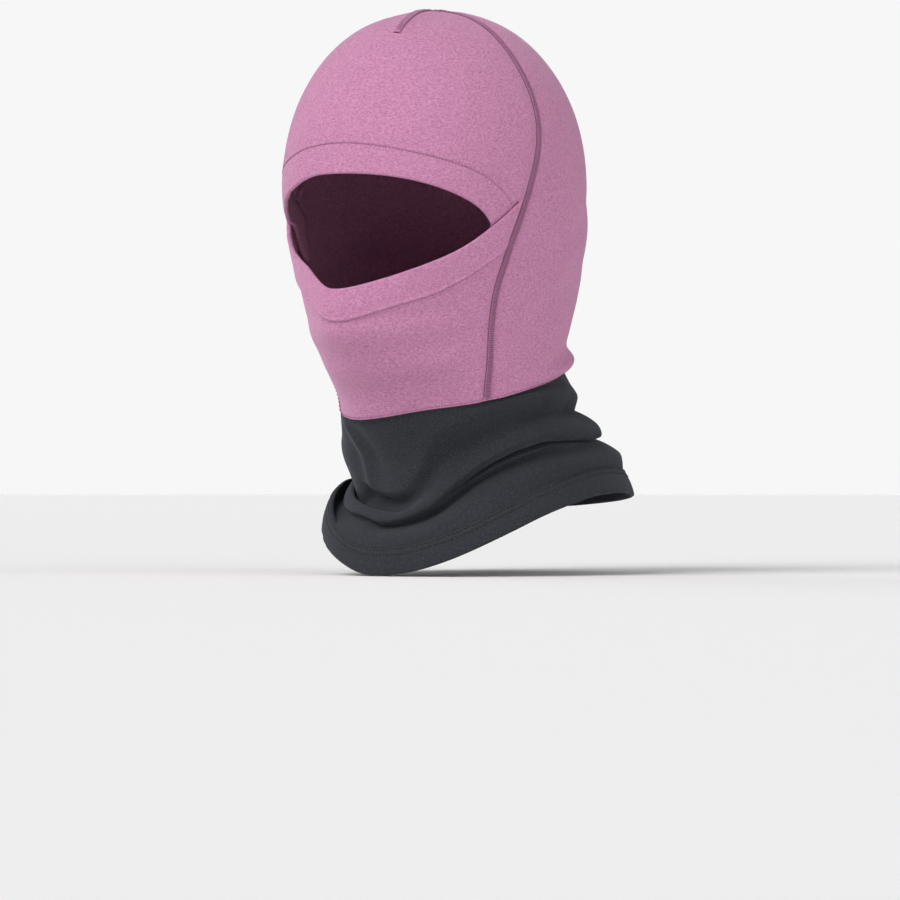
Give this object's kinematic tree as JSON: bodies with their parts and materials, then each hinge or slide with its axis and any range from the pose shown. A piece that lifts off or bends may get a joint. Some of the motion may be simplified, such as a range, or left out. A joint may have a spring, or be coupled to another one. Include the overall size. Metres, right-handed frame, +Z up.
{
  "type": "balaclava",
  "caption": "Close-fitting two-colour knitted balaclava with an eye opening, a pull-down hinged mask and a slouched neck gaiter.",
  "frame": {"origin": "middle of the head cavity at its widest level, midway between the temples", "axes": "+Z up towards the crown, the face opening looks along -Y, +X is the wearer's left"},
  "size_m": [0.155, 0.224, 0.3029],
  "materials": {
    "hood_knit": "brushed interlock knit, dusty mauve",
    "gaiter_knit": "brushed interlock knit, charcoal",
    "hood_thread": "seam thread, darker mauve",
    "gaiter_thread": "seam thread, charcoal",
    "label": "satin ribbon, blank"
  },
  "bodies": {
    "hood": {"crown_panel": "hood_knit", "forehead_hem": "hood_knit", "back_panel_left": "hood_knit", "back_panel_right": "hood_knit", "arch_seam": "hood_thread", "centre_back_seam": "hood_thread", "crown_dart_seam": "hood_thread", "crown_dart_tack": "hood_thread", "forehead_hem_stitching": "hood_thread", "neck_seam": "hood_thread", "gaiter_tube": "gaiter_knit", "gaiter_back_seam": "gaiter_thread"},
    "mask": {"mask_panel": "hood_knit", "mask_hem": "hood_knit", "mask_hem_stitching": "hood_thread"},
    "collar": {"gaiter_hem": "gaiter_knit", "gaiter_hem_stitching": "gaiter_thread"},
    "label": {"care_label": "label"}
  },
  "joints": [
    {"name": "mask_pull_down", "type": "slide", "parent": "hood", "child": "mask", "axis": [0, 0.35, -0.9367], "range_m": [0, 0.04], "deforming": ["mask_panel", "mask_hem", "mask_hem_stitching"]},
    {"name": "collar_lift", "type": "slide", "parent": "hood", "child": "collar", "axis": [0, 0, 1], "range_m": [0, 0.018], "deforming": ["gaiter_tube", "gaiter_back_seam"]},
    {"name": "label_flip", "type": "hinge", "parent": "hood", "child": "label", "pos_m": [0, 0.0776, -0.087], "axis": [1, 0, 0], "range_deg": [-75, 0]}
  ]
}
